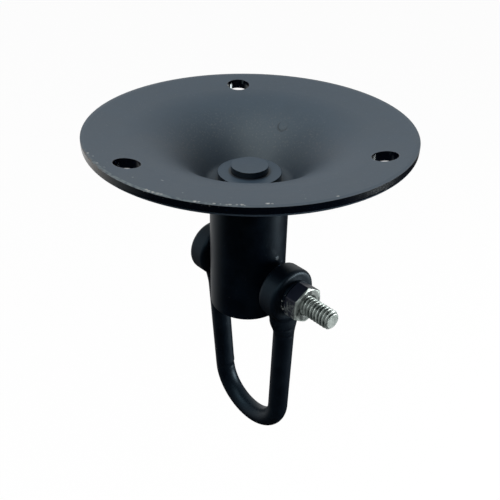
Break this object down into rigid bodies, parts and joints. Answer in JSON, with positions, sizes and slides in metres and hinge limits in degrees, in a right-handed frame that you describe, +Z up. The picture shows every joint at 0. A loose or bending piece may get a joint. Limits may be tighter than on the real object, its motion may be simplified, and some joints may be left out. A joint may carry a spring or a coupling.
{
  "type": "ceiling hook",
  "caption": "Swivelling ceiling hook: a funnel-shaped ceiling plate, a barrel that turns under it and a bow shackle that swings on a cross bolt.",
  "frame": {"origin": "centre of the ring of the plate that lies against the ceiling", "axes": "+Z up into the ceiling, +X along the cross bolt towards its nut, +Y across the shackle"},
  "size_m": [0.1, 0.1, 0.1208],
  "materials": {
    "plate_paint": "satin black paint",
    "body_paint": "semi-gloss black paint",
    "zinc_plating": "bright zinc plating"
  },
  "bodies": {
    "plate": {"ceiling_plate": "plate_paint"},
    "swivel": {"thrust_collar": "plate_paint", "pivot_pin": "plate_paint", "barrel": "body_paint", "cross_bolt": "zinc_plating", "spring_washer": "body_paint", "hex_nut": "zinc_plating"},
    "bow": {"shackle": "body_paint"}
  },
  "joints": [
    {"name": "barrel_swivel", "type": "hinge", "parent": "plate", "child": "swivel", "pos_m": [0, 0, -0.0213], "axis": [0, 0, 1], "continuous": true},
    {"name": "shackle_swing", "type": "hinge", "parent": "swivel", "child": "bow", "pos_m": [0.0008, 0, -0.0505], "axis": [1, 0, 0], "range_deg": [-132, 128]}
  ]
}
